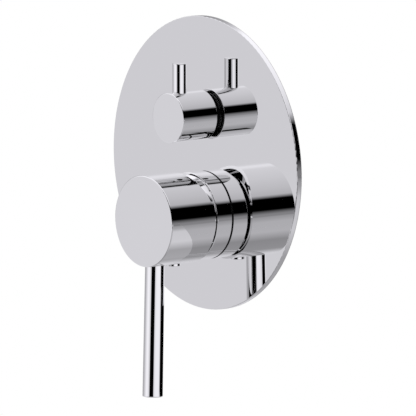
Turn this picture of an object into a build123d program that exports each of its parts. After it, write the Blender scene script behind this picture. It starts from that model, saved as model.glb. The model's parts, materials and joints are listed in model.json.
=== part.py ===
from build123d import *
import math
import os

# Concealed shower valve: a single-lever mixer below, a diverter above, on one round wall plate.
# Origin: centre of the plate's back face, which lies on the finished wall. +Z is up, -Y comes out
# of the wall towards the user. Millimetres and degrees.
# Each control is built about its own axis: x across, y up, and the height z measured out of the
# wall, so a negative height lies inside the wall.

# Fits
turn_gap = 0.05         # radial, a shaft in its bore
slide_gap = 0.08        # a slider between its guides
face_gap = 0.1          # faces that turn close to each other
clear_gap = 0.3         # parts that pass each other without touching
cut_over = 1.0          # how far a cutter runs past the face it opens

# Wall plate
plate_r = 80.0
plate_t = 3.2
plate_edge = 0.35
mixer_z = -28.5
diverter_z = 26.5
gasket_r = 75.0
gasket_w = 7.0
gasket_t = 1.6

# Mixer handle
handle_r = 25.0
handle_wall = 1.5
handle_len = 30.1
handle_gap = 2.2        # between the collar's front and the handle's rear rim
handle_edge = 0.7
handle_web = 14.1       # solid front of the handle
tilt = 18.0             # lift of the lever, from shut to full flow
relief_rise = 7.3       # the rear rim is cut back by this much at the top
hub_r = 8.0
hub_inset = 1.5
lever_r = 5.28
lever_tip_r = 5.5
lever_edge = 0.45
lever_back = 7.9        # lever's axis behind the handle's front face
lever_lean = 1.25
lever_len = 71.4        # from the handle's underside to the lever's end
lever_seat = 3.0        # how deep the rod sits in the handle
lever_shank_r = 3.0
lever_shank = 9.0
plug_r = 4.0
plug_t = 1.5
plug_slip = 0.15
plug_proud = 1.0
plug_edge = 0.2
set_screw_r = 2.5
set_screw_back = 20.7   # set screw and plug behind the handle's front face
key_deep = 1.6

# Mixer collar and its seals
collar_inset = 1.0      # collar's radius below the handle's
collar_wall = 1.3
collar_slip = 0.4       # between the collar's bore and the body's boss
collar_reach = 10.6     # from the plate's front face
collar_edge = 0.5
collar_seal_t = 0.65
collar_seal_inset = 0.35
shoulder_gap = 0.45     # between the spherical shoulder and the handle's bore
shoulder_wall = 1.2
shoulder_rise = 7.2
ring_groove_w = 2.2
ring_groove_deep = 1.3

# Mixing cartridge, for a standard 35 mm bore
cartridge_r = 17.5
cartridge_wall = 1.4
cartridge_roof = 2.0
nut_t = 4.5
nut_proud = 0.5         # nut in front of the body's boss
boss_inset = 4.8        # boss's front behind the collar's front
boss_lip = 2.3
nut_notch_w = 5.0
nut_notch_deep = 2.0
neck_r = 11.5
neck_wall = 1.2
neck_reach = 8.0
rotor_inset = 0.5
pivot_rise = 4.2        # tilting pin above the cartridge's shoulder
pivot_pin_r = 1.6
pivot_pin_inset = 0.8
stem_w = 8.4
stem_edge = 0.6
stem_end_gap = 1.0      # stem's end below the handle's solid front
stem_foot = 4.0         # square part behind the pivot
stem_neck_r = 2.8
stem_ball_r = 3.6
ball_drop = 11.0        # from the pivot to the ball
slider_play = 0.7
slider_w = 20.0
slider_head = 1.3       # slider above the ball's centre
slider_floor = 1.3
moving_disc_t = 3.0
fixed_disc_t = 3.5
pool_r = 6.6
base_t = 5.5
base_flange_t = 3.0
base_seal_t = 1.0
base_seal_w = 1.2
mix_port_r = 3.5
mix_port_ring = 9.1
hot_port, cold_port, mixed_port = 202.0, 338.0, 90.0   # directions of the ports round the axis

# Diverter knob
knob_r = 13.7
knob_wall = 1.5
knob_gap = 2.55         # between the plate's front face and the knob
knob_len = 23.25
knob_edge = 0.55
knob_rear_edge = 0.25
knob_web = 12.8
knob_hub_r = 7.0
knob_hub_gap = 0.5
pin_r = 3.8
pin_edge = 0.5
pin_back = 7.8          # pin's axis behind the knob's front face
pin_len = 15.9          # from the knob's top to the pin's end
pin_seat = 3.5
pin_shank_r = 2.0
pin_shank = 5.0
knob_screw_r = 2.0
knob_screw_len = 3.0
knob_screw_rise = 3.1   # above the rear of the knob's hub

# Diverter headwork
sleeve_play = 0.4       # between the sleeve and the knob's bore
sleeve_wall = 1.3
sleeve_reach = 5.8      # from the plate's front face
sleeve_in = 4.0
sleeve_flange = 0.8
headwork_lift = 5.0     # headwork's seat above the cartridge's seat
headwork_seal_t = 1.0
headwork_skirt = 1.7
headwork_hex_gap = 0.7  # between the hexagon's corners and the sleeve
headwork_hex_in = 2.2   # hexagon's seat behind the plate's front face
headwork_hex_h = 5.0
headwork_nose_r = 5.8
headwork_nose_h = 2.0
spindle_r = 4.0
spindle_foot_t = 3.9
spindle_grip = 6.1      # length in the knob's hub
spline_count = 12
spline_r = 0.45
clip_t = 0.8
clip_deep = 0.65
clip_r = 5.2
clip_slot = 4.0
tongue_w = 3.0
tongue_t = 1.2
diverter_disc_t = 3.0
diverter_port_r = 1.8
diverter_port_rim = 0.5
inlet_port, side_port, top_port = 270.0, 150.0, 30.0   # directions of the ports round the axis

# Brass body in the wall, with four screwed-in nipples
boss_wall = 1.7         # round the headwork's thread
diverter_base_r = 14.0
diverter_base_drop = 7.0
casting_round = 2.0
bridge_w = 24.0
bridge_t = 13.0
body_floor = 2.4
channel_r = 3.5
channel_drop = 4.6      # channels behind the cartridge's seat
socket_boss_r = 12.0
pipe_lift = 2.0         # nipples' axes above the cartridge's seat
side_reach = 1.2        # seats of the side nipples outside the mixing chamber
top_reach = 3.0         # seat of the top nipple outside the diverter's chamber
spigot_r = 8.6
spigot_len = 3.6
nipple_hex = 23.0
nipple_hex_t = 3.0
pipe_r = 10.48          # G 1/2 outside thread
pipe_bore_r = 7.0
pipe_thread = 11.0
lug_x = 27.0
lug_r = 6.5
lug_t = 6.0
lug_hole_r = 2.75

# Sizes that follow from the values above: trim
handle_bore_r = handle_r - handle_wall
collar_r = handle_r - collar_inset
collar_bore_r = collar_r - collar_wall
collar_rear = plate_t + collar_seal_t
collar_front = plate_t + collar_reach
boss_r = collar_bore_r - collar_slip
boss_top = collar_front - boss_inset
cartridge_top = boss_top + nut_proud - nut_t
pivot_out = cartridge_top + pivot_rise
shoulder_r = handle_bore_r - shoulder_gap
shoulder_foot_r = math.sqrt(shoulder_r**2 - (collar_front - pivot_out) ** 2)
ring_groove_out = (collar_rear + boss_top) / 2
handle_rear = collar_front + handle_gap
handle_front = handle_rear + handle_len
handle_floor = handle_front - handle_web
lever_out = handle_front - lever_back
set_screw_out = handle_front - set_screw_back

# Sizes that follow: cartridge
nut_r = boss_r - boss_lip
neck_top = cartridge_top + neck_reach
neck_bore_r = neck_r - neck_wall
rotor_top = neck_top - rotor_inset
case_bore_r = cartridge_r - cartridge_wall
stem_top = handle_floor - stem_end_gap
ball_out = pivot_out - ball_drop
disc_travel = ball_drop * math.sin(math.radians(tilt))
slider_r = case_bore_r - disc_travel - slider_play
slider_top = ball_out + slider_head
slider_bottom = ball_out - stem_ball_r - clear_gap - slider_floor
moving_disc_bottom = slider_bottom - moving_disc_t
fixed_disc_bottom = moving_disc_bottom - fixed_disc_t
base_bottom = fixed_disc_bottom - base_t
mixer_seat = base_bottom - base_seal_t

# Sizes that follow: diverter
diverter_up = diverter_z - mixer_z
knob_bore_r = knob_r - knob_wall
knob_rear = plate_t + knob_gap
knob_front = knob_rear + knob_len
knob_floor = knob_front - knob_web
pin_out = knob_front - pin_back
sleeve_r = knob_bore_r - sleeve_play
sleeve_bore_r = sleeve_r - sleeve_wall
diverter_boss_r = sleeve_bore_r - clear_gap
headwork_r = diverter_boss_r - boss_wall
disc_bore_r = headwork_r - headwork_skirt
diverter_port_ring = disc_bore_r - diverter_port_r - diverter_port_rim
tongue_len = 2 * (disc_bore_r - headwork_skirt)
headwork_seat = mixer_seat + headwork_lift
headwork_bottom = headwork_seat + headwork_seal_t
moving_ring_bottom = headwork_bottom + diverter_disc_t
spindle_bottom = moving_ring_bottom + diverter_disc_t
spindle_foot_top = spindle_bottom + spindle_foot_t
headwork_roof = spindle_foot_top + face_gap
headwork_hex_out = plate_t - headwork_hex_in
nose_out = headwork_hex_out + headwork_hex_h + headwork_nose_h
clip_out = nose_out + face_gap
knob_hub_rear = clip_out + clip_t + knob_hub_gap
spindle_end = knob_hub_rear + spindle_grip
knob_screw_out = knob_hub_rear + knob_screw_rise
knob_screw_in = spindle_r - clip_deep / 2

# Sizes that follow: body
side_face = boss_r + side_reach
top_face = diverter_base_r + top_reach
channel_height = mixer_seat - channel_drop
pipe_height = mixer_seat + pipe_lift
body_back = channel_height - channel_r - body_floor
socket_deep = spigot_len + clear_gap

MIXER = Pos(0, 0, mixer_z) * Rot(90, 0, 0)
DIVERTER = Pos(0, 0, diverter_z) * Rot(90, 0, 0)


def turned(*corners):
    """A solid of revolution from (radius, height) corners; a third number rounds that corner."""
    outline = Polygon(*[corner[:2] for corner in corners], align=None)
    for corner in corners:
        if len(corner) == 3:
            point = outline.vertices().sort_by_distance((corner[0], corner[1], 0))[0]
            outline = fillet(point, corner[2])
    return revolve(Plane.XZ * outline, Axis.Z)


def post(radius, low, high, x=0, y=0):
    """A round bar along the height, from low to high."""
    return Pos(x, y, low) * extrude(Circle(radius), high - low)


def block(width, depth, low, high, x=0, y=0):
    """A rectangular bar along the height, from low to high."""
    return Pos(x, y, low) * extrude(Rectangle(width, depth), high - low)


def bar_x(radius, start, end, y, height):
    """A round bar along x."""
    return Pos(start, y, height) * Rot(0, 90, 0) * extrude(Circle(radius), end - start)


def bar_y(radius, start, end, x, height):
    """A round bar along y, which is up on the wall."""
    return Pos(x, start, height) * Rot(-90, 0, 0) * extrude(Circle(radius), end - start)


def ring(outer, inner, low, high):
    """A flat ring, or a short tube."""
    return post(outer, low, high) - post(inner, low, high)


# Trim


def plate():
    disc = turned((0, 0), (plate_r, 0), (plate_r, plate_t, plate_edge), (0, plate_t))
    disc -= ring(gasket_r, gasket_r - gasket_w, 0, gasket_t)
    disc = Rot(90, 0, 0) * disc
    disc -= MIXER * post(boss_r + clear_gap, -cut_over, plate_t + cut_over)
    upper_r = sleeve_r + sleeve_flange + slide_gap
    disc -= DIVERTER * post(upper_r, -cut_over, plate_t + cut_over)
    return disc


def plate_gasket():
    return Rot(90, 0, 0) * ring(gasket_r, gasket_r - gasket_w, 0, gasket_t)


def mixer_collar():
    """Sleeve over the boss, closed by a spherical shoulder centred on the tilting pin."""
    sleeve = turned(
        (collar_bore_r, collar_rear),
        (collar_r, collar_rear),
        (collar_r, collar_front, collar_edge),
        (collar_bore_r, collar_front),
    )
    low, high = collar_front - shoulder_wall, collar_front + shoulder_rise
    shell = Pos(0, 0, pivot_out) * (Sphere(shoulder_r) - Sphere(shoulder_r - shoulder_wall))
    zone = shell & post(collar_r, low, high)
    ledge = ring(collar_bore_r, shoulder_foot_r - shoulder_wall, low, collar_front)
    ledge -= Pos(0, 0, pivot_out) * Sphere(shoulder_r - shoulder_wall)
    return sleeve + zone + ledge


def collar_seal():
    return ring(collar_r - collar_seal_inset, boss_r + clear_gap / 2, plate_t, collar_rear)


def collar_o_ring():
    floor_r = boss_r - ring_groove_deep
    cord_r = (collar_bore_r - floor_r) / 2
    return Pos(0, 0, ring_groove_out) * Torus(floor_r + cord_r, cord_r)


# Mixer handle, which tilts with the stem


def rear_relief():
    """Everything behind the rounded cut that frees the handle's upper rim as it tilts."""
    bow = (handle_r**2 + relief_rise**2) / (2 * relief_rise)
    width = 2 * (handle_r + cut_over)
    upper_half = block(width, width, handle_rear, handle_rear + 2 * relief_rise, 0, width / 2)
    return upper_half - bar_x(bow, -width, width, 0, handle_rear + bow)


def lever_line(at_y):
    """Place on the lever's axis at a distance from the mixer's axis, pointing to the tip."""
    lean = math.tan(math.radians(lever_lean))
    return Pos(0, at_y, lever_out - (at_y + handle_r) * lean) * Rot(90 - lever_lean, 0, 0)


def rod(radius, start, end):
    """A round bar on the lever's axis, between two distances below the mixer's axis."""
    length = (end - start) / math.cos(math.radians(lever_lean))
    return lever_line(-start) * extrude(Circle(radius), length)


def mixer_handle():
    body = turned((0, handle_rear), (handle_r, handle_rear), (handle_r, handle_front, handle_edge),
                  (0, handle_front))
    body -= post(handle_bore_r, handle_rear, handle_floor)
    body -= rear_relief()
    body += post(hub_r, handle_rear + hub_inset, handle_floor)
    socket = stem_w + 2 * slide_gap
    body -= block(socket, socket, handle_rear, stem_top + clear_gap)
    seat = handle_r - lever_seat
    body -= rod(lever_r, seat, handle_r + 2 * lever_r)
    body -= rod(lever_shank_r, seat - lever_shank - clear_gap, handle_r)
    body -= bar_y(set_screw_r, -handle_bore_r, -stem_w / 2, 0, set_screw_out)
    body -= bar_y(plug_r, -handle_r - cut_over, -hub_r - cut_over, 0, set_screw_out)
    return body


def mixer_lever():
    """Slightly tapered rod with a flat end and a threaded shank that screws into the handle."""
    seat = handle_r - lever_seat
    length = (lever_len + lever_seat) / math.cos(math.radians(lever_lean))
    bar = turned((0, 0), (lever_r, 0), (lever_r, lever_seat), (lever_tip_r, length, lever_edge),
                 (0, length))
    return lever_line(-seat) * bar + rod(lever_shank_r, seat - lever_shank, seat)


def handle_plug():
    """Round cap over the set screw, a little proud of the handle's underside."""
    cap_r, height = plug_r - plug_slip, plug_t + plug_proud
    cap = turned((0, 0), (cap_r, 0), (cap_r, height, plug_edge), (0, height))
    return Pos(0, plug_t - handle_r, set_screw_out) * Rot(90, 0, 0) * cap


def key_hole(screw_r, end_y, height):
    """Hexagon socket in the lower end of a set screw."""
    key = extrude(RegularPolygon(screw_r / 2, 6), key_deep)
    return Pos(0, end_y + key_deep, height) * Rot(90, 0, 0) * key


def handle_set_screw():
    screw = bar_y(set_screw_r, -hub_r, -stem_w / 2 - slide_gap, 0, set_screw_out)
    return screw - key_hole(set_screw_r, -hub_r, set_screw_out)


# Mixing cartridge


def stem_slot():
    """Slot through the rotor in which the stem swings, longer below for the ball."""
    swing = math.radians(tilt)
    up = (stem_w / 2 + (rotor_top - pivot_out) * math.sin(swing)) / math.cos(swing) + clear_gap
    down = disc_travel + stem_ball_r + clear_gap
    width = stem_w + 2 * clear_gap
    return block(width, up + down, slider_bottom, neck_top + cut_over, 0, (up - down) / 2)


def cartridge_housing():
    return turned(
        (case_bore_r, base_bottom + base_flange_t),
        (cartridge_r, base_bottom + base_flange_t),
        (cartridge_r, cartridge_top),
        (neck_r, cartridge_top),
        (neck_r, neck_top),
        (neck_bore_r, neck_top),
        (neck_bore_r, cartridge_top - cartridge_roof),
        (case_bore_r, cartridge_top - cartridge_roof),
    )


def cartridge_rotor():
    """Turning carrier: neck with the pin's holes, flange, and two prongs that guide the slider."""
    flange_top = cartridge_top - cartridge_roof - face_gap
    flange_bottom = slider_top + face_gap
    flange_r = case_bore_r - 2 * turn_gap
    carrier = turned((0, flange_bottom), (flange_r, flange_bottom), (flange_r, flange_top),
                     (neck_bore_r - turn_gap, flange_top), (neck_bore_r - turn_gap, rotor_top),
                     (0, rotor_top))
    prongs = post(flange_r, slider_bottom + face_gap, flange_bottom)
    prongs -= block(slider_w + 2 * slide_gap, 4 * flange_r, slider_bottom, flange_bottom)
    carrier += prongs
    carrier -= stem_slot()
    return carrier - bar_x(pivot_pin_r, -neck_r, neck_r, 0, pivot_out)


def stem_pivot_pin():
    reach = neck_bore_r - pivot_pin_inset
    return bar_x(pivot_pin_r, -reach, reach, 0, pivot_out)


def cartridge_stem():
    """Square stem, bored for the pin, with a neck and a ball that moves the slider."""
    stem = block(stem_w, stem_w, pivot_out - stem_foot, stem_top)
    stem = chamfer(stem.faces().sort_by(Axis.Z)[-1].edges(), stem_edge)
    stem += post(stem_neck_r, ball_out, pivot_out - stem_foot)
    stem += Pos(0, 0, ball_out) * Sphere(stem_ball_r)
    return stem - bar_x(pivot_pin_r + turn_gap, -stem_w, stem_w, 0, pivot_out)


def disc_slider():
    """Driver of the moving disc, with a square pocket for the stem's ball."""
    driver = post(slider_r, slider_bottom, slider_top)
    driver &= block(slider_w, 2 * slider_r, slider_bottom, slider_top)
    pocket = 2 * (stem_ball_r + slide_gap)
    return driver - block(pocket, pocket, slider_bottom + slider_floor, slider_top)


def moving_disc():
    disc = post(slider_r, moving_disc_bottom, slider_bottom)
    disc &= block(slider_w, 2 * slider_r, moving_disc_bottom, slider_bottom)
    return disc - post(pool_r, moving_disc_bottom, moving_disc_bottom + moving_disc_t / 2)


def around(ring_r, angle):
    """The x and y of a point on a ring round the axis."""
    return ring_r * math.cos(math.radians(angle)), ring_r * math.sin(math.radians(angle))


def port_holes(radius, low, high):
    places = [around(mix_port_ring, angle) for angle in (hot_port, cold_port, mixed_port)]
    return [post(radius, low, high, x, y) for x, y in places]


def fixed_disc():
    disc = post(case_bore_r - turn_gap, fixed_disc_bottom, moving_disc_bottom)
    return disc - port_holes(mix_port_r, fixed_disc_bottom, moving_disc_bottom)


def cartridge_base():
    """Closes the housing from behind; its ports lead from the body to the fixed disc."""
    flange_top = base_bottom + base_flange_t
    base = post(cartridge_r, base_bottom, flange_top)
    base += post(case_bore_r - turn_gap, flange_top, fixed_disc_bottom)
    return base - port_holes(mix_port_r, base_bottom, fixed_disc_bottom)


def base_seals():
    one = ring(mix_port_r + base_seal_w, mix_port_r, mixer_seat, base_bottom)
    places = [around(mix_port_ring, angle) for angle in (hot_port, cold_port, mixed_port)]
    return Compound([Pos(x, y, 0) * one for x, y in places])


def cartridge_nut():
    """Threaded ring with four notches for the pin wrench."""
    nut = ring(nut_r, neck_r + clear_gap, cartridge_top, cartridge_top + nut_t)
    top = cartridge_top + nut_t
    notch = block(nut_notch_w, nut_notch_w, top - nut_notch_deep, top, neck_r + clear_gap)
    return nut - [Rot(0, 0, 90 * quarter) * notch for quarter in range(4)]


# Diverter knob


def diverter_knob():
    body = turned((0, knob_rear), (knob_r, knob_rear, knob_rear_edge),
                  (knob_r, knob_front, knob_edge), (0, knob_front))
    body -= post(knob_bore_r, knob_rear, knob_floor)
    body += post(knob_hub_r, knob_hub_rear, knob_floor)
    body -= post(spindle_r, knob_rear, spindle_end + clear_gap)
    body -= bar_y(pin_r, knob_r - pin_seat, knob_r + cut_over, 0, pin_out)
    shank_floor = knob_r - pin_seat - pin_shank - clear_gap
    body -= bar_y(pin_shank_r, shank_floor, knob_r, 0, pin_out)
    body -= bar_y(knob_screw_r, -knob_r - cut_over, -spindle_r / 2, 0, knob_screw_out)
    return body


def diverter_pin():
    """Round pin with a flat end, screwed into the top of the knob."""
    seat = knob_r - pin_seat
    end = knob_r + pin_len
    bar = turned((0, seat), (pin_r, seat), (pin_r, end, pin_edge), (0, end))
    shank = post(pin_shank_r, seat - pin_shank, seat)
    return Pos(0, 0, pin_out) * Rot(-90, 0, 0) * (bar + shank)


def knob_set_screw():
    end = knob_screw_in + knob_screw_len
    screw = bar_y(knob_screw_r, -end, -knob_screw_in, 0, knob_screw_out)
    return screw - key_hole(knob_screw_r, -end, knob_screw_out)


def diverter_sleeve():
    """Black sleeve round the boss: it centres the plate and closes the gap behind the knob."""
    tube = ring(sleeve_r, sleeve_bore_r, -sleeve_in, plate_t + sleeve_reach)
    return tube + ring(sleeve_r + sleeve_flange, sleeve_r, 0, plate_t)


# Diverter headwork


def diverter_housing():
    """Brass headwork: threaded skirt round the discs, hexagon, and a nose that guides the spindle."""
    skirt = post(headwork_r, headwork_bottom, headwork_hex_out)
    hex_top = headwork_hex_out + headwork_hex_h
    across = extrude(RegularPolygon(sleeve_bore_r - headwork_hex_gap, 6), headwork_hex_h)
    nose = post(headwork_nose_r, hex_top, nose_out)
    body = skirt + Pos(0, 0, headwork_hex_out) * across + nose
    body -= post(disc_bore_r, headwork_bottom, headwork_roof)
    return body - post(spindle_r + turn_gap, headwork_roof, nose_out)


def diverter_spindle():
    """Spindle with a foot that drives the moving disc, a clip groove and a grooved end."""
    spindle = post(disc_bore_r - turn_gap, spindle_bottom, spindle_foot_top)
    spindle += post(spindle_r, spindle_foot_top, clip_out + clip_t)
    spindle += post(spindle_r - turn_gap, clip_out + clip_t, spindle_end)
    spindle -= ring(spindle_r, spindle_r - clip_deep, clip_out, clip_out + clip_t)
    groove = post(spline_r, knob_hub_rear, spindle_end, spindle_r)
    spindle -= [Rot(0, 0, 360 * i / spline_count) * groove for i in range(spline_count)]
    flat = knob_screw_out - knob_screw_r - clear_gap
    spindle -= block(2 * spindle_r, spindle_r, flat, spindle_end, 0, -knob_screw_in - spindle_r / 2)
    return spindle + block(tongue_w, tongue_len, spindle_bottom - tongue_t, spindle_bottom)


def diverter_clip():
    """Retaining ring, open on one side, in the spindle's groove."""
    clip = ring(clip_r, spindle_r - clip_deep, clip_out, clip_out + clip_t)
    return clip - block(clip_slot, clip_r, clip_out, clip_out + clip_t, 0, clip_r / 2)


def diverter_moving_disc():
    """Ceramic disc with a slot for the spindle's tongue and one pocket over the ports."""
    disc = post(disc_bore_r - turn_gap, moving_ring_bottom, spindle_bottom)
    slot = tongue_len + 2 * slide_gap
    disc -= block(tongue_w + 2 * slide_gap, slot, spindle_bottom - tongue_t, spindle_bottom)
    _, y = around(diverter_port_ring / 2, inlet_port)
    pocket_top = moving_ring_bottom + tongue_t
    return disc - post(diverter_port_ring / 2, moving_ring_bottom, pocket_top, 0, y)


def diverter_holes(radius, low, high):
    places = [around(diverter_port_ring, angle) for angle in (inlet_port, side_port, top_port)]
    return [post(radius, low, high, x, y) for x, y in places]


def diverter_fixed_disc():
    disc = post(disc_bore_r - turn_gap, headwork_bottom, moving_ring_bottom)
    return disc - diverter_holes(diverter_port_r, headwork_bottom, moving_ring_bottom)


def diverter_seal():
    inner = diverter_port_ring + diverter_port_r
    return ring(headwork_r - clear_gap, inner, headwork_seat, headwork_bottom)


# Brass body in the wall, about the mixer's axis


def connections():
    """Place and seat distance of each nipple, which points along x before it is placed."""
    return {
        "hot_inlet_nipple": (Pos(0, 0, pipe_height) * Rot(0, 0, 180), side_face),
        "cold_inlet_nipple": (Pos(0, 0, pipe_height), side_face),
        "side_outlet_nipple": (Pos(0, diverter_up, pipe_height) * Rot(0, 0, 180), side_face),
        "top_outlet_nipple": (Pos(0, diverter_up, pipe_height) * Rot(0, 0, 90), top_face),
    }


def nipple(seat):
    """Spigot in the body, hexagon on its seat, threaded end, and the water's bore right through."""
    thread_start = seat + nipple_hex_t
    end = thread_start + pipe_thread
    across = RegularPolygon(nipple_hex / 2, 6, major_radius=False, rotation=30)
    part = Pos(seat, 0, 0) * Rot(0, 90, 0) * extrude(across, nipple_hex_t)
    part += bar_x(spigot_r, seat - spigot_len, seat, 0, 0) + bar_x(pipe_r, thread_start, end, 0, 0)
    return part - bar_x(pipe_bore_r, seat - spigot_len, end, 0, 0)


def chambers():
    """The two round chambers, seen from outside."""
    lower = turned((0, body_back), (boss_r, body_back, casting_round), (boss_r, boss_top),
                   (0, boss_top))
    base_top = headwork_hex_out - diverter_base_drop
    upper = turned((0, body_back), (diverter_base_r, body_back, casting_round),
                   (diverter_base_r, base_top, casting_round), (diverter_boss_r, base_top),
                   (diverter_boss_r, headwork_hex_out), (0, headwork_hex_out))
    return lower + Pos(0, diverter_up, 0) * upper


def lugs():
    """Two fixing ears on a common bar, level with the body's back."""
    middle = diverter_up / 2
    bar = block(2 * lug_x, 2 * lug_r, body_back, body_back + lug_t, 0, middle)
    for x in (-lug_x, lug_x):
        bar += post(lug_r, body_back, body_back + lug_t, x, middle)
        bar -= post(lug_hole_r, body_back, body_back + lug_t, x, middle)
    return bar


def mixer_waterways():
    """Cartridge chamber, the nut's thread, and the channels of hot, cold and mixed water."""
    cuts = [post(cartridge_r + turn_gap, mixer_seat, boss_top), post(nut_r, cartridge_top, boss_top)]
    cuts += port_holes(mix_port_r, channel_height, mixer_seat)
    for angle, end in ((hot_port, socket_deep - side_face), (cold_port, side_face - socket_deep)):
        x, y = around(mix_port_ring, angle)
        cuts.append(bar_x(channel_r, min(x, end), max(x, end), y, channel_height))
    _, start = around(mix_port_ring, mixed_port)
    _, end = around(diverter_port_ring, inlet_port)
    cuts.append(bar_y(channel_r, start, diverter_up + end, 0, channel_height))
    return cuts


def diverter_waterways():
    """Headwork chamber and the channels to the two outlets."""
    cuts = [post(headwork_r, headwork_seat, headwork_hex_out)]
    cuts += diverter_holes(diverter_port_r, channel_height, headwork_seat)
    x, y = around(diverter_port_ring, side_port)
    cuts.append(bar_x(diverter_port_r, socket_deep - side_face, x, y, channel_height))
    x, y = around(diverter_port_ring, top_port)
    cuts.append(bar_y(diverter_port_r, y, top_face - socket_deep, x, channel_height))
    return [Pos(0, diverter_up, 0) * cut for cut in cuts]


def valve_body():
    """Cast brass body: chambers, bridge, sockets for the nipples, lugs, and the cuts for water."""
    casting = chambers() + lugs()
    casting += block(bridge_w, diverter_up, body_back, body_back + bridge_t, 0, diverter_up / 2)
    for place, seat in connections().values():
        casting += place * bar_x(socket_boss_r, 0, seat, 0, 0)
    for place, seat in connections().values():
        casting -= place * bar_x(spigot_r, seat - socket_deep, seat, 0, 0)
    casting -= mixer_waterways() + diverter_waterways()
    low = ring_groove_out - ring_groove_w / 2
    return casting - ring(boss_r, boss_r - ring_groove_deep, low, low + ring_groove_w)


def main():
    os.makedirs("parts", exist_ok=True)
    nodes = {
        "escutcheon_plate": plate(),
        "plate_gasket": plate_gasket(),
        "mixer_collar": MIXER * mixer_collar(),
        "collar_seal": MIXER * collar_seal(),
        "collar_o_ring": MIXER * collar_o_ring(),
        "mixer_handle": MIXER * mixer_handle(),
        "mixer_lever": MIXER * mixer_lever(),
        "handle_plug": MIXER * handle_plug(),
        "handle_set_screw": MIXER * handle_set_screw(),
        "cartridge_housing": MIXER * cartridge_housing(),
        "cartridge_rotor": MIXER * cartridge_rotor(),
        "stem_pivot_pin": MIXER * stem_pivot_pin(),
        "cartridge_stem": MIXER * cartridge_stem(),
        "disc_slider": MIXER * disc_slider(),
        "moving_disc": MIXER * moving_disc(),
        "fixed_disc": MIXER * fixed_disc(),
        "cartridge_base": MIXER * cartridge_base(),
        "base_seals": MIXER * base_seals(),
        "cartridge_nut": MIXER * cartridge_nut(),
        "diverter_knob": DIVERTER * diverter_knob(),
        "diverter_pin": DIVERTER * diverter_pin(),
        "knob_set_screw": DIVERTER * knob_set_screw(),
        "diverter_sleeve": DIVERTER * diverter_sleeve(),
        "diverter_housing": DIVERTER * diverter_housing(),
        "diverter_spindle": DIVERTER * diverter_spindle(),
        "diverter_clip": DIVERTER * diverter_clip(),
        "diverter_moving_disc": DIVERTER * diverter_moving_disc(),
        "diverter_fixed_disc": DIVERTER * diverter_fixed_disc(),
        "diverter_seal": DIVERTER * diverter_seal(),
        "valve_body": MIXER * valve_body(),
    }
    for name, (place, seat) in connections().items():
        nodes[name] = MIXER * place * nipple(seat)
    for name, shape in nodes.items():
        export_step(shape, f"parts/{name}.step")


main()
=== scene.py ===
import functools
import json
import math
import operator

import bmesh
import bpy
import numpy as np
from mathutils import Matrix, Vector


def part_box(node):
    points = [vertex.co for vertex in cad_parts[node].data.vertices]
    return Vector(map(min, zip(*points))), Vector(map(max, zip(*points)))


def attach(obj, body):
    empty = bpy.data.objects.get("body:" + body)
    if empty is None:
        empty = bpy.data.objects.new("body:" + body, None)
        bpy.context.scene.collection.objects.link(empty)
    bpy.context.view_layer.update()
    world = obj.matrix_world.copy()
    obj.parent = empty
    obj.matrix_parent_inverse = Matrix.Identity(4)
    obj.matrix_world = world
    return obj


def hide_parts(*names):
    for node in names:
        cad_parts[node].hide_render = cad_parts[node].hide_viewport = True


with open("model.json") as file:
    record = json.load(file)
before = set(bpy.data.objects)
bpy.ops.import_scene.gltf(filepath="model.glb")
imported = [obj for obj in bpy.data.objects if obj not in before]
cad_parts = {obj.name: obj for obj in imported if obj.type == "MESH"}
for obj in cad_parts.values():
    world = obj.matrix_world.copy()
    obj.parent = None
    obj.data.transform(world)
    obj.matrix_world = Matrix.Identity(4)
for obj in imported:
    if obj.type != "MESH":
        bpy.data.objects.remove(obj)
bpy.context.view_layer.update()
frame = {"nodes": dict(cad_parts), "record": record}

MM = 0.001

# Camera: a parallel view, worked out from the plate's outline and its reflections
CAMERA_AZIMUTH = 51.49
CAMERA_ELEVATION = 7.81
CAMERA_AIM = Vector((2.328, -3.2, -24.56)) * MM
CAMERA_WIDTH = 225.65 * MM
CAMERA_DISTANCE = 1.0

# Light tent, a tube round the wall's axis: degrees from +X over the top, and the brightness there
TENT = ((-180, 0.68), (-170, 0.67), (-155, 0.70), (-138, 0.67), (-113, 0.31), (-77, 0.28), (-52, 0.48),
        (-25, 0.46), (-8, 0.28), (-1, 0.13), (4.5, 0.0), (33, 0.0), (42, 0.49), (60, 0.565), (90, 0.64),
        (145, 0.73), (180, 0.68))
# Belt of the tent at the camera's level: degrees from straight in front towards +X, and brightness
BELT = ((-180, 0.0), (-133, 0.0), (-127, 0.36), (-71, 0.45), (-51, 0.67), (-33, 0.86), (-18, 0.95),
        (-4, 0.82), (9, 0.63), (12, 0.46), (15, 0.0), (49, 0.0), (54, 0.45), (63, 0.72), (80, 0.88),
        (110, 0.90), (121, 0.80), (126, 0.2), (130, 0.2), (135, 0.7), (138, 0.7), (142, 0.0), (180, 0.0))
# Heights between which the belt's lower and upper edges fade in
BELT_LOW = (-0.20, -0.155)
BELT_HIGH = (-0.045, -0.095)
# The lower edge drops by this much where the direction points this far to the front or the back
BELT_DROP = 0.03
BELT_DROP_FROM = (0.64, 0.70)

# Dark cards on the belt: degrees at which each one's first edge starts and ends, then its last edge.
# Each set is seen only by rays that the metal has mirrored once, twice, and three times or more.
BELT_CARDS = (((47, 50, 56, 61),),
              ((-12, -4, 20, 24), (130, 133, 142, 146)),
              ((2, 6, 20, 24),))
# Dark card high on the right, seen by rays mirrored twice or more: its arc and its heights
HIGH_CARD = (65, 75, 165, 175)
HIGH_CARD_FROM = (0.6, 0.68)
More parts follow.
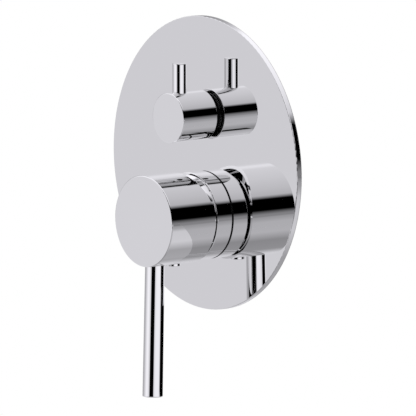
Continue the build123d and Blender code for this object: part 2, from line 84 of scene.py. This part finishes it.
# Parts of the tent: on each axis of the direction, where the part starts and where it is full.
# The front card, on the right above the belt, is seen only by rays mirrored once.
FRONT_CARD = {"y": (-0.45, -0.6), "z": (0.0, 0.1), "x": (-0.05, 0.05)}
OVERHEAD = {"z": (0.1, 0.8), "y": (-0.62, 0.0)}
LOW_BEHIND = {"y": (0.0, 0.5), "z": (-0.2, -0.35), "x": (-0.45, -0.2)}
LEFT_BEHIND = {"x": (-0.4, -0.7), "y": (-0.35, 0.0), "z": (-0.1, 0.1)}
OVERHEAD_GAIN = 0.55    # the tent is brighter overhead, towards the wall
LOW_GAIN = 0.30         # and low down behind the object, but for the far left
LEFT_SHADE = 0.55       # but darker up on the left, behind the object
# Lamp behind the tent's cloth: its direction, the cosines at its glow's edge, and its strength
LAMP_AT = Vector((-0.80, -0.30, 0.52)).normalized()
LAMP_EDGE = (0.9, 0.99)
LAMP_GAIN = 0.45
# The world's Ray Depth is one more than the number of bounces
ONE_BOUNCE = 2
TWO_BOUNCES = 3
DEEP_LOSS = 0.2         # share of the light that is lost after three bounces
LIGHT_TINT = (0.978, 0.968, 1.02)       # faint cool tint of the light on the object
SOFT_WHITE = 0.95       # the tent's brightness for everything that isn't a mirror
FLOOR_DROP = 0.6
FLOOR_SIZE = 1.5
FLOOR_GREY = 0.9

# Plating and turned metal
PLATE_BACK = (-0.6 * MM, -0.2 * MM)     # depths between which the plate's plating ends
PLATE_RING_PITCH = 0.5 * MM
TURNED_RING_PITCH = 0.16 * MM
CHROME_ROUGH = (0.002, 0.006)           # roughness between which the plating's cloud runs
METAL = {"Metallic": 1.0}

# Moulded plastics and rubbers: dark and light colour, roughness, depth of the grain, shine
MOULDED = {
    "grey_plastic": ((0.40, 0.41, 0.42), (0.48, 0.49, 0.50), 0.40, 0.02 * MM, 0.5),
    "white_plastic": ((0.82, 0.82, 0.79), (0.88, 0.88, 0.86), 0.35, 0.02 * MM, 0.5),
    "black_rubber": ((0.008, 0.008, 0.008), (0.018, 0.018, 0.018), 0.38, 0.01 * MM, 0.5),
    # A real black seal ring, made darker and duller than the rubber so that it also gives painted shade in
    # the gap between the collar and the plate
    "seal_with_painted_gap_shade": ((0.003, 0.003, 0.003), (0.008, 0.008, 0.008), 0.50, 0.005 * MM, 0.1),
}

# Nipples with a G 1/2 pipe thread, in millimetres
PIPE_R = 10.48
PIPE_BORE_R = 7.0
BORE_EDGE = 0.7
ROOT_DEPTH = 1.162
ROOT_R = PIPE_R - ROOT_DEPTH
THREAD_LENGTH = 11.0
THREAD_PITCH = 1.814
THREAD_FLAT = 0.14      # flat share of each half pitch at the root, and at the crest
THREAD_ROW = 0.085      # distance between the grid's rows on the thread
NECK_LENGTH = 1.1       # plain neck beside the hexagon, and the length over which the thread rises
NECK_FADE = 0.7
NECK_DEPTH = 0.1
END_CONE_DEPTH = 0.25   # the free end's cone starts this far inside the thread's root
END_CONE_SLOPE = 1.1
HEX_WIDTH = 23.0
HEX_LENGTH = 3.0
THREAD_END = HEX_LENGTH + THREAD_LENGTH
HEX_SEAT_EDGE = (0.15, 0.25)        # bevel at the hexagon's seat: along the axis and inwards
HEX_CONE_DEPTH = 0.25               # the outer face's cone starts this far inside the flats
HEX_CONE_SLOPE = 1.9
HEX_CONE_ROWS = (1.1, 0.9, 0.6, 0.3, 0.0)
SPIGOT_R = 8.6
SPIGOT_LENGTH = 3.6
SPIGOT_EDGE = 0.4
COLUMNS = 96

# Casting's skin
CAST_CUBE = 0.6 * MM
CAST_SHARE = 0.5        # how far a point moves towards the mean of its neighbours in each pass
CAST_PASSES = 6
MERGE_GAP = 0.001 * MM
SHARP_ANGLE = 35


class Value:
    """A shader socket in a sum: each sign adds one Math node and gives its result."""

    def __init__(self, maker, socket):
        self.maker, self.socket = maker, socket

    def math(self, operation, *others):
        """A Math node with this value in its first socket."""
        return self.maker.node("ShaderNodeMath", {"operation": operation}, self, *others)

    def __add__(self, other):
        return self.math("ADD", other)

    def __sub__(self, other):
        return self.math("SUBTRACT", other)

    def __rsub__(self, other):
        return self.maker.node("ShaderNodeMath", {"operation": "SUBTRACT"}, other, self)

    def __mul__(self, other):
        return self.math("MULTIPLY", other)

    def __truediv__(self, other):
        return self.math("DIVIDE", other)

    __radd__ = __add__
    __rmul__ = __mul__


class Maker:
    """Adds nodes to one material's or world's tree."""

    def __init__(self, owner):
        owner.use_nodes = True
        self.tree = owner.node_tree
        self.tree.nodes.clear()

    def node(self, kind, settings=None, *values, out=0, **named):
        """One node: its settings first, then its sockets by place or by name; gives one output.

        None in a socket's place leaves that socket as it is."""
        made = self.tree.nodes.new(kind)
        for key, setting in (settings or {}).items():
            if key == "stops":
                set_stops(made.color_ramp, setting)
            else:
                setattr(made, key, setting)
        for key, value in [*enumerate(values), *named.items()]:
            if value is None:
                continue
            socket = made.inputs[key.replace("_", " ") if isinstance(key, str) else key]
            if isinstance(value, Value):
                self.tree.links.new(value.socket, socket)
            else:
                socket.default_value = value
        return Value(self, made.outputs[out]) if made.outputs else None


def set_stops(ramp, stops):
    """Gives a colour ramp its stops, each a place from 0 to 1 and a grey level, in rising order."""
    while len(ramp.elements) < len(stops):
        ramp.elements.new(1.0)
    for element, (spot, level) in zip(ramp.elements, stops):
        element.position = spot
        element.color = (level, level, level, 1.0)


def step(value, start, end):
    """0 at start, 1 at end, with a soft step between; start may be above end."""
    ends = (start, end, 0.0, 1.0) if start < end else (end, start, 1.0, 0.0)
    return value.maker.node("ShaderNodeMapRange", {"interpolation_type": "SMOOTHSTEP"}, value, *ends)


def between(share, low, high):
    """Value that is low where the share is 0 and high where it is 1."""
    return low + share * (high - low)


def blend(share, first, second):
    """Colour that is the first where the share is 0 and the second where it is 1."""
    for_other_types = [None] * 5
    return share.maker.node("ShaderNodeMix", {"data_type": "RGBA"}, share, *for_other_types,
                            (*first, 1.0), (*second, 1.0), out=2)


# Studio


def round_share(side, ahead):
    """Angle of a direction from one axis towards another, -180 to 180 degrees as 0 to 1."""
    return side.math("ARCTAN2", ahead) / (2 * math.pi) + 0.5


def level_at(share, table):
    """Brightness at a share of the full round, from a table of degrees and brightness."""
    stops = [(degrees / 360 + 0.5, level) for degrees, level in table]
    return share.maker.node("ShaderNodeValToRGB", {"stops": stops}, share)


def arc(share, *degrees):
    """1 inside an arc of the round, its four angles the start and end of the rise and of the fall."""
    rise, full, fall, gone = (angle / 360 + 0.5 for angle in degrees)
    return step(share, rise, full) * step(share, gone, fall)


def inside(axes, part):
    """1 inside a part of the tent: the product of a soft step on each axis that the part names."""
    return functools.reduce(operator.mul, (step(axes[name], *limits) for name, limits in part.items()))


def mirrored(maker):
    """Masks for rays that the metal has mirrored once, twice, and three times or more."""
    depth = maker.node("ShaderNodeLightPath", out="Ray Depth")
    once = depth.math("LESS_THAN", ONE_BOUNCE + 0.5)
    deep = depth.math("GREATER_THAN", TWO_BOUNCES + 0.5)
    return once, 1 - once - deep, deep


def belt_light(bounces, compass):
    """Brightness of the belt at the camera's level, less the dark cards that each bounce sees."""
    cards = (seen * arc(compass, *card) for seen, row in zip(bounces, BELT_CARDS) for card in row)
    return level_at(compass, BELT) * (1 - functools.reduce(operator.add, cards))


def tent_light(maker, direction):
    """Brightness of the tent in a direction: its wall, the belt round it and their dark cards."""
    axes = {name: maker.node("ShaderNodeSeparateXYZ", None, direction, out=name.upper()) for name in "xyz"}
    x, y, z = axes.values()
    bounces = mirrored(maker)
    once, _, deep = bounces
    compass = round_share(x, y * -1)
    high = (1 - once) * arc(compass, *HIGH_CARD) * step(z, *HIGH_CARD_FROM)
    towards = maker.node("ShaderNodeVectorMath", {"operation": "DOT_PRODUCT"}, direction, LAMP_AT,
                         out="Value")
    glow = 1 + inside(axes, OVERHEAD) * OVERHEAD_GAIN + step(towards, *LAMP_EDGE) * LAMP_GAIN
    glow = glow + inside(axes, LOW_BEHIND) * LOW_GAIN
    shade = inside(axes, LEFT_BEHIND) * LEFT_SHADE
    cards = (1 - high) * (1 - once * inside(axes, FRONT_CARD))
    wall = level_at(round_share(z, x), TENT) * cards * glow * (1 - shade)
    drop = step(y.math("ABSOLUTE"), *BELT_DROP_FROM) * BELT_DROP
    belt = step(z + drop, *BELT_LOW) * step(z, *BELT_HIGH)
    seen = wall * (1 - belt) + belt_light(bounces, compass) * belt
    return seen * (1 - deep * DEEP_LOSS)


def set_studio():
    """White tent with dark cards for the metal; the camera sees plain white behind the object."""
    world = bpy.data.worlds.new("light_tent")
    bpy.context.scene.world = world
    maker = Maker(world)
    direction = maker.node("ShaderNodeTexCoord", out="Generated")
    camera, glossy, through = (maker.node("ShaderNodeLightPath", out=name)
                               for name in ("Is Camera Ray", "Is Glossy Ray", "Is Transmission Ray"))
    white = camera.math("MAXIMUM", through)
    strength = glossy * tent_light(maker, direction) + (1 - glossy) * (white + (1 - white) * SOFT_WHITE)
    shade = maker.node("ShaderNodeBackground", None, blend(white, LIGHT_TINT, (1, 1, 1)), strength)
    maker.node("ShaderNodeOutputWorld", None, shade)


def lay_floor():
    """Plain pale floor well below: white to the camera, clear to the metal's reflections."""
    half = FLOOR_SIZE / 2
    corners = [(x, y, -FLOOR_DROP) for x, y in ((-half, -half), (half, -half), (half, half), (-half, half))]
    mesh = bpy.data.meshes.new("floor")
    mesh.from_pydata(corners, [], [(0, 1, 2, 3)])
    item = bpy.data.objects.new("floor", mesh)
    bpy.context.scene.collection.objects.link(item)
    made = bpy.data.materials.new("pale_floor")
    maker = Maker(made)
    camera = maker.node("ShaderNodeLightPath", out="Is Camera Ray")
    glossy = maker.node("ShaderNodeLightPath", out="Is Glossy Ray")
    pale = maker.node("ShaderNodeBsdfDiffuse", None, (FLOOR_GREY, FLOOR_GREY, FLOOR_GREY, 1.0))
    white = maker.node("ShaderNodeEmission", None, (1, 1, 1, 1), 1.0)
    clear = maker.node("ShaderNodeBsdfTransparent")
    seen = maker.node("ShaderNodeMixShader", None, camera, pale, white)
    whole = maker.node("ShaderNodeMixShader", None, glossy, seen, clear)
    maker.node("ShaderNodeOutputMaterial", None, whole)
    mesh.materials.append(made)


def set_camera():
    """Parallel camera that looks at the aim point along the photograph's direction."""
    turn, lift = math.radians(CAMERA_AZIMUTH), math.radians(CAMERA_ELEVATION)
    back = Vector((math.sin(turn) * math.cos(lift), -math.cos(turn) * math.cos(lift), math.sin(lift)))
    data = bpy.data.cameras.new("camera")
    data.type = "ORTHO"
    data.ortho_scale = CAMERA_WIDTH
    item = bpy.data.objects.new("camera", data)
    bpy.context.scene.collection.objects.link(item)
    item.rotation_mode = "QUATERNION"
    item.rotation_quaternion = (-back).to_track_quat("-Z", "Y")
    item.location = CAMERA_AIM + back * CAMERA_DISTANCE
    bpy.context.scene.camera = item


# Materials


def surface(maker, tint, rough, height, depth, **constants):
    """Principled surface; height, from 0 to 1, stands up by a bump of the given depth."""
    bump = maker.node("ShaderNodeBump", None, Strength=1.0, Distance=depth, Height=height)
    shader = maker.node("ShaderNodeBsdfPrincipled", None, Base_Color=tint, Roughness=rough, Normal=bump,
                        **constants)
    maker.node("ShaderNodeOutputMaterial", None, shader)


def place(maker):
    """Place on the object that every pattern is worked out from."""
    return maker.node("ShaderNodeTexCoord", out="Object")


def along(maker, axis):
    """Distance along one of the object's axes in metres."""
    return maker.node("ShaderNodeSeparateXYZ", None, place(maker), out=axis)


def cloud(maker, size, detail=3.0):
    """Noise from 0 to 1 with features of a given size in metres."""
    return maker.node("ShaderNodeTexNoise", None, place(maker), Scale=1 / size, Detail=detail)


def rings(run, pitch):
    """Grooves of a turning tool: a wave from 0 to 1 that repeats once per pitch of the run."""
    return (run * (2 * math.pi / pitch)).math("SINE") * 0.5 + 0.5


def chrome(maker):
    """Mirror plating: a faint cloud in tint and gloss, as a buffing wheel leaves."""
    tint = blend(cloud(maker, 30 * MM), (0.964, 0.964, 0.966), (0.980, 0.980, 0.982))
    rough = between(cloud(maker, 12 * MM), *CHROME_ROUGH)
    surface(maker, tint, rough, cloud(maker, 6 * MM), 0.0004 * MM, **METAL)


def chrome_plate(maker):
    """Mirror plating in front; behind, bare metal with the turning tool's rings."""
    x, z = along(maker, "X"), along(maker, "Z")
    grooves = rings((x * x + z * z).math("SQRT"), PLATE_RING_PITCH)
    behind = step(along(maker, "Y"), *PLATE_BACK)
    worn = cloud(maker, 4 * MM) * 0.5 + cloud(maker, 0.4 * MM) * 0.5
    tint = blend(behind, (0.93, 0.93, 0.932), (0.62, 0.61, 0.60))
    plated = between(cloud(maker, 12 * MM), *CHROME_ROUGH)
    rough = (1 - behind) * plated + behind * between(worn, 0.26, 0.42)
    surface(maker, tint, rough, behind * (grooves * 0.6 + worn * 0.4), 0.01 * MM, **METAL)


def cast_brass(maker):
    """Sand-cast brass: a grainy skin, darker in its pits."""
    grain, lumps = cloud(maker, 0.35 * MM, 4.0), cloud(maker, 3.0 * MM, 2.0)
    tint = blend(step(grain * 0.6 + lumps * 0.4, 0.35, 0.65), (0.50, 0.36, 0.18), (0.74, 0.57, 0.31))
    surface(maker, tint, between(grain, 0.34, 0.60), grain * 0.75 + lumps * 0.25, 0.12 * MM, **METAL)


def turned_brass(axis):
    """Machined brass with fine rings square to its axis."""
    def build(maker):
        uneven = cloud(maker, 5 * MM) * (0.05 * MM)
        grooves = rings(along(maker, axis) + uneven, TURNED_RING_PITCH)
        tint = blend(cloud(maker, 2.5 * MM), (0.74, 0.56, 0.28), (0.84, 0.67, 0.37))
        wear = cloud(maker, 0.8 * MM)
        surface(maker, tint, between(wear, 0.15, 0.29), grooves * 0.5 + wear * 0.25, 0.008 * MM, **METAL)
    return build


def satin_steel(maker):
    """Satin steel: a fine even grain in gloss and height, and slow clouds of grey."""
    grain = cloud(maker, 0.4 * MM, 2.0)
    tint = blend(cloud(maker, 2 * MM), (0.56, 0.56, 0.57), (0.68, 0.68, 0.67))
    surface(maker, tint, between(grain, 0.20, 0.36), grain, 0.006 * MM, **METAL)


def moulded(dark, light, rough, depth, shine):
    """Moulded plastic or rubber with the fine grain of its mould."""
    def build(maker):
        grain = cloud(maker, 0.12 * MM, 2.0)
        tint = blend(cloud(maker, 4 * MM), dark, light)
        surface(maker, tint, between(grain, rough, rough + 0.12), grain, depth, Specular_IOR_Level=shine)
    return build


def gloss_black(maker):
    """Glossy black plastic with the slow waves of its mould and a light haze."""
    waves = cloud(maker, 4 * MM, 2.0)
    tint = blend(cloud(maker, 3 * MM), (0.002, 0.002, 0.002), (0.006, 0.006, 0.006))
    rough = between(cloud(maker, 1.5 * MM), 0.03, 0.08)
    surface(maker, tint, rough, waves, 0.002 * MM, Specular_IOR_Level=0.2)


def ceramic(maker):
    """Lapped ceramic: almost white, with the finest grey specks."""
    specks = step(cloud(maker, 0.3 * MM, 1.0), 0.68, 0.74)
    tint = blend(specks, (0.93, 0.92, 0.88), (0.80, 0.79, 0.76))
    surface(maker, tint, between(cloud(maker, 1.5 * MM), 0.07, 0.15), specks, 0.002 * MM)


def foam(maker):
    """Closed-cell foam: small round cells of uneven grey."""
    cells = maker.node("ShaderNodeTexVoronoi", None, place(maker), Scale=1 / (0.7 * MM))
    tint = blend(cells, (0.035, 0.035, 0.04), (0.12, 0.12, 0.125))
    surface(maker, tint, between(cloud(maker, 1 * MM), 0.80, 0.95), 1 - cells, 0.25 * MM)


def material(name, build):
    """New material whose nodes the given function makes."""
    made = bpy.data.materials.new(name)
    build(Maker(made))
    return made


def finish_nodes():
    """Gives every CAD node its slot's material, or its own where the slot's is too plain.

    Returns the slots' materials."""
    soft = {name: material(name, moulded(*look)) for name, look in MOULDED.items()}
    slots = {
        "chrome": material("polished_chrome", chrome),
        "cast_brass": material("cast_brass", cast_brass),
        "turned_brass": material("turned_brass_y", turned_brass("Y")),
        "steel": material("satin_steel", satin_steel),
        "grey_plastic": soft["grey_plastic"],
        "white_plastic": soft["white_plastic"],
        "black_plastic": material("gloss_black_plastic", gloss_black),
        "ceramic": material("lapped_ceramic", ceramic),
        "black_rubber": soft["black_rubber"],
        "foam": material("closed_cell_foam", foam),
    }
    own = {
        "escutcheon_plate": material("chrome_on_turned_plate", chrome_plate),
        # the seal's near-black, dull finish is partly painted shade of the gap between the collar and the
        # plate
        "collar_seal": soft["seal_with_painted_gap_shade"],
    }
    for part in frame["record"]["subparts"]:
        mesh = frame["nodes"][part["node"]].data
        mesh.materials.clear()
        mesh.materials.append(own.get(part["node"], slots[part["material_slot"]]))
    return slots


# Pieces


def add_piece(name, mesh, body, finish, node):
    """New piece from a finished mesh, in one material, that stands for a CAD node."""
    mesh.shade_smooth()
    mesh.set_sharp_from_angle(angle=math.radians(SHARP_ANGLE))
    mesh.materials.clear()
    mesh.materials.append(finish)
    item = bpy.data.objects.new(name, mesh)
    bpy.context.scene.collection.objects.link(item)
    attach(item, body)
    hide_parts(node)


def grid_mesh(name, points):
    """Mesh from a grid of points in metres, joined both ways: last row to first, last column to first."""
    rows, columns = points.shape[:2]
    index = np.arange(rows * columns).reshape(rows, columns)
    down, right = np.roll(index, -1, 0), np.roll(index, -1, 1)
    faces = np.stack([index, right, np.roll(down, -1, 1), down], -1).reshape(-1, 4)
    mesh = bpy.data.meshes.new(name)
    mesh.from_pydata(points.reshape(-1, 3), [], faces)
    return mesh


def thread_radius(run, angle):
    """Radius of the thread at distances along the axis and angles round it.

    It rises and falls once per pitch from the root to the crest with S-shaped flanks between short
    flats, and the wave moves on by one pitch per turn. Beside the hexagon it fades into a neck a
    little below the root, and a cone cuts it down at the free end."""
    turn = (run / THREAD_PITCH - angle / (2 * math.pi)) % 1.0
    rise = 1 - np.abs(2 * turn - 1)
    flank = np.clip((rise - THREAD_FLAT) / (1 - 2 * THREAD_FLAT), 0, 1)
    crest = flank * flank * (3 - 2 * flank) * ROOT_DEPTH
    full = np.clip((run - HEX_LENGTH - NECK_LENGTH) / NECK_FADE, 0, 1)
    cone = ROOT_R - END_CONE_DEPTH + (THREAD_END - run) * END_CONE_SLOPE
    return np.minimum(ROOT_R + crest * full - NECK_DEPTH * (1 - full), cone)


def nipple_points():
    """Grid of one nipple along +X, its hexagon's seat at 0; millimetres.

    Each row is a distance along the axis and a radius for every angle; the rows run from the bore
    over the spigot, the hexagon and the thread back into the bore. The hexagon's radius is half its
    width over the cosine of the angle from the middle of a flat, cut down by a cone at its outer
    face."""
    angle = np.arange(COLUMNS) / COLUMNS * 2 * math.pi
    half_side = math.pi / 6
    from_flat = (angle + half_side) % (2 * half_side) - half_side
    hexagon = HEX_WIDTH / 2 / np.cos(from_flat)
    seat_length, seat_depth = HEX_SEAT_EDGE
    rows = [(-SPIGOT_LENGTH, PIPE_BORE_R), (-SPIGOT_LENGTH, SPIGOT_R - SPIGOT_EDGE),
            (SPIGOT_EDGE - SPIGOT_LENGTH, SPIGOT_R), (0.0, SPIGOT_R),
            (0.0, hexagon - seat_depth), (seat_length, hexagon)]
    for back in HEX_CONE_ROWS:
        cone = HEX_WIDTH / 2 - HEX_CONE_DEPTH + back * HEX_CONE_SLOPE
        rows.append((HEX_LENGTH - back, np.minimum(hexagon, cone)))
    rows.append((HEX_LENGTH, ROOT_R - NECK_DEPTH))
    runs = np.arange(HEX_LENGTH + NECK_DEPTH, THREAD_END, THREAD_ROW)
    rows += zip(runs, thread_radius(runs[:, None], angle))
    rows += [(THREAD_END, PIPE_BORE_R + BORE_EDGE), (THREAD_END - BORE_EDGE, PIPE_BORE_R)]
    even = np.ones(COLUMNS)
    along_axis = np.array([run * even for run, _ in rows])
    radius = np.array([radii * even for _, radii in rows])
    return np.stack([along_axis, radius * np.cos(angle), radius * np.sin(angle)], -1)


def nipples():
    """The four threaded nipples, each turned to the side that its node points to."""
    points = nipple_points()
    to_left = points * (-1, -1, 1)
    upwards = points[..., [2, 1, 0]] * (-1, 1, 1)
    forms = {
        "hot_inlet_nipple": ("X", to_left),
        "cold_inlet_nipple": ("X", points),
        "side_outlet_nipple": ("X", to_left),
        "top_outlet_nipple": ("Z", upwards),
    }
    finish = {axis: material("turned_brass_" + axis.lower(), turned_brass(axis)) for axis in "XZ"}
    for node, (axis, form) in forms.items():
        low, high = (np.array(corner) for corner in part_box(node))
        spots = form.reshape(-1, 3) * MM
        shift = (low + high) / 2 - (spots.min(0) + spots.max(0)) / 2
        name = node.replace("_nipple", "_threaded_nipple")
        add_piece(name, grid_mesh(name, form * MM + shift), "fixed", finish[axis], node)


def casting(finish):
    """The brass body's own solid with the rounded corners and soft skin of a sand casting.

    The solid is filled with small cubes, the skin of the cubes is taken, and each point moves
    towards the mean of its neighbours a few times."""
    mesh = frame["nodes"]["valve_body"].data.copy()
    merged = bmesh.new()
    merged.from_mesh(mesh)
    bmesh.ops.remove_doubles(merged, verts=merged.verts, dist=MERGE_GAP)
    merged.to_mesh(mesh)
    merged.free()
    blank = bpy.data.objects.new("casting_blank", mesh)
    bpy.context.scene.collection.objects.link(blank)
    cubes = blank.modifiers.new("cubes", "REMESH")
    cubes.mode = "VOXEL"
    cubes.voxel_size = CAST_CUBE
    soften = blank.modifiers.new("soften", "SMOOTH")
    soften.factor = CAST_SHARE
    soften.iterations = CAST_PASSES
    cast = bpy.data.meshes.new_from_object(blank.evaluated_get(bpy.context.evaluated_depsgraph_get()))
    bpy.data.objects.remove(blank)
    add_piece("cast_valve_body", cast, "fixed", finish, "valve_body")


set_camera()
set_studio()
lay_floor()
bpy.context.scene.view_settings.view_transform = "Standard"
slots = finish_nodes()
nipples()
casting(slots["cast_brass"])
